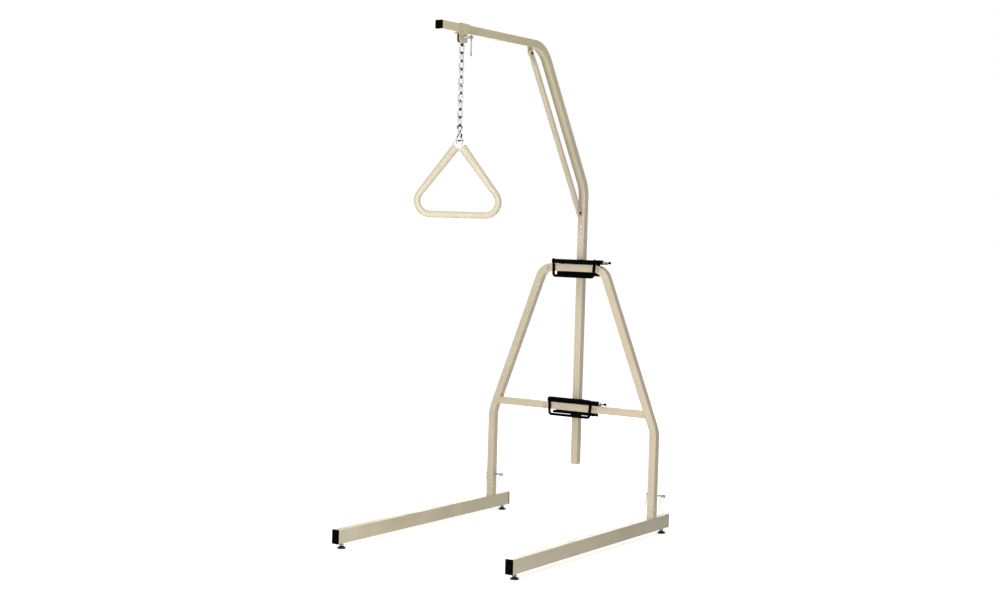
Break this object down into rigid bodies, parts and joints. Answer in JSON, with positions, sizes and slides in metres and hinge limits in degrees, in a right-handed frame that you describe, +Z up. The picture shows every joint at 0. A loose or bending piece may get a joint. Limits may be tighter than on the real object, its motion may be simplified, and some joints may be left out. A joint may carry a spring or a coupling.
{
  "type": "bed trapeze",
  "caption": "Free-standing bed trapeze: folded leg frame on two base tubes, height-adjustable post with a cranked, braced arm, and a triangle handle hung on a chain.",
  "frame": {"origin": "centre of the bounding box in X and Y, on the floor", "axes": "+Z up, the arm reaches toward -Y, +X runs across the legs"},
  "size_m": [0.7114, 0.9516, 1.6098],
  "materials": {
    "beige_enamel": "semi-gloss powder enamel",
    "black_enamel": "semi-gloss enamel",
    "black_plastic": "satin moulded",
    "zinc": "bright zinc plating",
    "dark_rubber": "smooth"
  },
  "bodies": {
    "stand": {"base_tube_left": "beige_enamel", "base_spigot_left": "beige_enamel", "leg_left": "beige_enamel", "crossbar_stub_left": "beige_enamel", "leg_pin_left": "zinc", "base_cap_front_left": "black_plastic", "base_cap_rear_left": "black_plastic", "base_tube_right": "beige_enamel", "base_spigot_right": "beige_enamel", "leg_right": "beige_enamel", "crossbar_stub_right": "beige_enamel", "leg_pin_right": "zinc", "base_cap_front_right": "black_plastic", "base_cap_rear_right": "black_plastic", "crossbar_lower": "beige_enamel", "bracket_lower": "black_enamel", "crossbar_upper": "beige_enamel", "bracket_upper": "black_enamel"},
    "foot_front_left": {"levelling_foot_front_left": "dark_rubber"},
    "foot_front_right": {"levelling_foot_front_right": "dark_rubber"},
    "foot_rear_left": {"levelling_foot_rear_left": "dark_rubber"},
    "foot_rear_right": {"levelling_foot_rear_right": "dark_rubber"},
    "loop_left": {"leg_pin_loop_left": "zinc"},
    "loop_right": {"leg_pin_loop_right": "zinc"},
    "button_lower_left": {"snap_button_lower_left": "beige_enamel"},
    "button_lower_right": {"snap_button_lower_right": "beige_enamel"},
    "button_upper_left": {"snap_button_upper_left": "beige_enamel"},
    "button_upper_right": {"snap_button_upper_right": "beige_enamel"},
    "post": {"post_arm": "beige_enamel", "arm_cap": "black_plastic", "brace": "beige_enamel", "brace_bolt_upper": "black_enamel", "brace_bolt_lower": "black_enamel"},
    "bail_lower": {"bail_lower": "black_enamel"},
    "hinge_pin_lower": {"hinge_pin_lower": "zinc", "hinge_pin_ball_lower": "black_plastic"},
    "post_screw_lower": {"post_screw_lower": "black_plastic"},
    "bail_upper": {"bail_upper": "black_enamel"},
    "hinge_pin_upper": {"hinge_pin_upper": "zinc", "hinge_pin_ball_upper": "black_plastic"},
    "post_screw_upper": {"post_screw_upper": "black_plastic"},
    "hanger": {"hanger_clamp": "beige_enamel"},
    "hanger_screw": {"hanger_screw": "zinc"},
    "tommy_bar": {"tommy_bar": "zinc"},
    "link_01": {"chain_link_01": "zinc"},
    "link_02": {"chain_link_02": "zinc"},
    "link_03": {"chain_link_03": "zinc"},
    "link_04": {"chain_link_04": "zinc"},
    "link_05": {"chain_link_05": "zinc"},
    "link_06": {"chain_link_06": "zinc"},
    "link_07": {"chain_link_07": "zinc"},
    "link_08": {"chain_link_08": "zinc"},
    "link_09": {"chain_link_09": "zinc"},
    "link_10": {"chain_link_10": "zinc"},
    "link_11": {"chain_link_11": "zinc"},
    "hook": {"s_hook": "zinc"},
    "handle": {"handle_plate": "zinc", "handle_tube": "beige_enamel"}
  },
  "joints": [
    {"name": "foot_front_left_height", "type": "slide", "parent": "stand", "child": "foot_front_left", "axis": [0, 0, -1], "range_m": [-0.0045, 0.012]},
    {"name": "foot_front_right_height", "type": "slide", "parent": "stand", "child": "foot_front_right", "axis": [0, 0, -1], "range_m": [-0.0045, 0.012]},
    {"name": "foot_rear_left_height", "type": "slide", "parent": "stand", "child": "foot_rear_left", "axis": [0, 0, -1], "range_m": [-0.0045, 0.012]},
    {"name": "foot_rear_right_height", "type": "slide", "parent": "stand", "child": "foot_rear_right", "axis": [0, 0, -1], "range_m": [-0.0045, 0.012]},
    {"name": "leg_pin_loop_left_swing", "type": "hinge", "parent": "stand", "child": "loop_left", "pos_m": [-0.3327, 0.3785, 0.1384], "axis": [1, 0, 0], "range_deg": [-140, 0]},
    {"name": "leg_pin_loop_right_swing", "type": "hinge", "parent": "stand", "child": "loop_right", "pos_m": [0.3073, 0.3785, 0.1384], "axis": [1, 0, 0], "range_deg": [-140, 0]},
    {"name": "snap_button_lower_left_press", "type": "slide", "parent": "stand", "child": "button_lower_left", "axis": [0, 1, 0], "range_m": [0, 0.003], "stiffness_N_per_m": 2000, "springref_m": -0.002},
    {"name": "snap_button_lower_right_press", "type": "slide", "parent": "stand", "child": "button_lower_right", "axis": [0, 1, 0], "range_m": [0, 0.003], "stiffness_N_per_m": 2000, "springref_m": -0.002},
    {"name": "snap_button_upper_left_press", "type": "slide", "parent": "stand", "child": "button_upper_left", "axis": [0, 1, 0], "range_m": [0, 0.003], "stiffness_N_per_m": 2000, "springref_m": -0.002},
    {"name": "snap_button_upper_right_press", "type": "slide", "parent": "stand", "child": "button_upper_right", "axis": [0, 1, 0], "range_m": [0, 0.003], "stiffness_N_per_m": 2000, "springref_m": -0.002},
    {"name": "post_height", "type": "slide", "parent": "stand", "child": "post", "axis": [0, 0, 1], "range_m": [-0.1436, 0]},
    {"name": "bail_lower_swing", "type": "hinge", "parent": "stand", "child": "bail_lower", "pos_m": [-0.0127, 0.3605, 0.42275], "axis": [1, 0, 0], "range_deg": [-110, 0]},
    {"name": "hinge_pin_lower_pull", "type": "slide", "parent": "stand", "child": "hinge_pin_lower", "axis": [1, 0, 0], "range_m": [0, 0.025]},
    {"name": "post_screw_lower_turn", "type": "hinge", "parent": "stand", "child": "post_screw_lower", "pos_m": [-0.0127, 0.435, 0.4017], "axis": [0, 1, 0], "continuous": true},
    {"name": "bail_upper_swing", "type": "hinge", "parent": "stand", "child": "bail_upper", "pos_m": [-0.0127, 0.3605, 0.89625], "axis": [1, 0, 0], "range_deg": [-110, 0]},
    {"name": "hinge_pin_upper_pull", "type": "slide", "parent": "stand", "child": "hinge_pin_upper", "axis": [1, 0, 0], "range_m": [0, 0.025]},
    {"name": "post_screw_upper_turn", "type": "hinge", "parent": "stand", "child": "post_screw_upper", "pos_m": [-0.0127, 0.435, 0.8752], "axis": [0, 1, 0], "continuous": true},
    {"name": "hanger_slide", "type": "slide", "parent": "post", "child": "hanger", "axis": [0, 1, 0], "range_m": [-0.0495, 0.0225]},
    {"name": "hanger_screw_turn", "type": "hinge", "parent": "hanger", "child": "hanger_screw", "pos_m": [-0.0127, -0.324, 1.5681], "axis": [1, 0, 0], "continuous": true},
    {"name": "tommy_bar_slide", "type": "slide", "parent": "hanger_screw", "child": "tommy_bar", "axis": [0, 0, 1], "range_m": [0, 0.045]},
    {"name": "link_01_swing", "type": "hinge", "parent": "hanger", "child": "link_01", "pos_m": [-0.0127, -0.324, 1.5681], "axis": [1, 0, 0], "range_deg": [-10, 10]},
    {"name": "link_02_swing", "type": "hinge", "parent": "link_01", "child": "link_02", "pos_m": [-0.0127, -0.324, 1.5471], "axis": [0, 1, 0], "range_deg": [-10, 10]},
    {"name": "link_03_swing", "type": "hinge", "parent": "link_02", "child": "link_03", "pos_m": [-0.0127, -0.324, 1.5231], "axis": [1, 0, 0], "range_deg": [-10, 10]},
    {"name": "link_04_swing", "type": "hinge", "parent": "link_03", "child": "link_04", "pos_m": [-0.0127, -0.324, 1.4991], "axis": [0, 1, 0], "range_deg": [-10, 10]},
    {"name": "link_05_swing", "type": "hinge", "parent": "link_04", "child": "link_05", "pos_m": [-0.0127, -0.324, 1.4751], "axis": [1, 0, 0], "range_deg": [-10, 10]},
    {"name": "link_06_swing", "type": "hinge", "parent": "link_05", "child": "link_06", "pos_m": [-0.0127, -0.324, 1.4511], "axis": [0, 1, 0], "range_deg": [-10, 10]},
    {"name": "link_07_swing", "type": "hinge", "parent": "link_06", "child": "link_07", "pos_m": [-0.0127, -0.324, 1.4271], "axis": [1, 0, 0], "range_deg": [-10, 10]},
    {"name": "link_08_swing", "type": "hinge", "parent": "link_07", "child": "link_08", "pos_m": [-0.0127, -0.324, 1.4031], "axis": [0, 1, 0], "range_deg": [-10, 10]},
    {"name": "link_09_swing", "type": "hinge", "parent": "link_08", "child": "link_09", "pos_m": [-0.0127, -0.324, 1.3791], "axis": [1, 0, 0], "range_deg": [-10, 10]},
    {"name": "link_10_swing", "type": "hinge", "parent": "link_09", "child": "link_10", "pos_m": [-0.0127, -0.324, 1.3551], "axis": [0, 1, 0], "range_deg": [-10, 10]},
    {"name": "link_11_swing", "type": "hinge", "parent": "link_10", "child": "link_11", "pos_m": [-0.0127, -0.324, 1.3311], "axis": [1, 0, 0], "range_deg": [-10, 10]},
    {"name": "hook_swing", "type": "hinge", "parent": "link_11", "child": "hook", "pos_m": [-0.0127, -0.324, 1.3071], "axis": [0, 1, 0], "range_deg": [-12, 12]},
    {"name": "handle_swing", "type": "hinge", "parent": "hook", "child": "handle", "pos_m": [-0.0127, -0.324, 1.26025], "axis": [0.9816, -0.1908, 0], "range_deg": [-10, 10]}
  ]
}
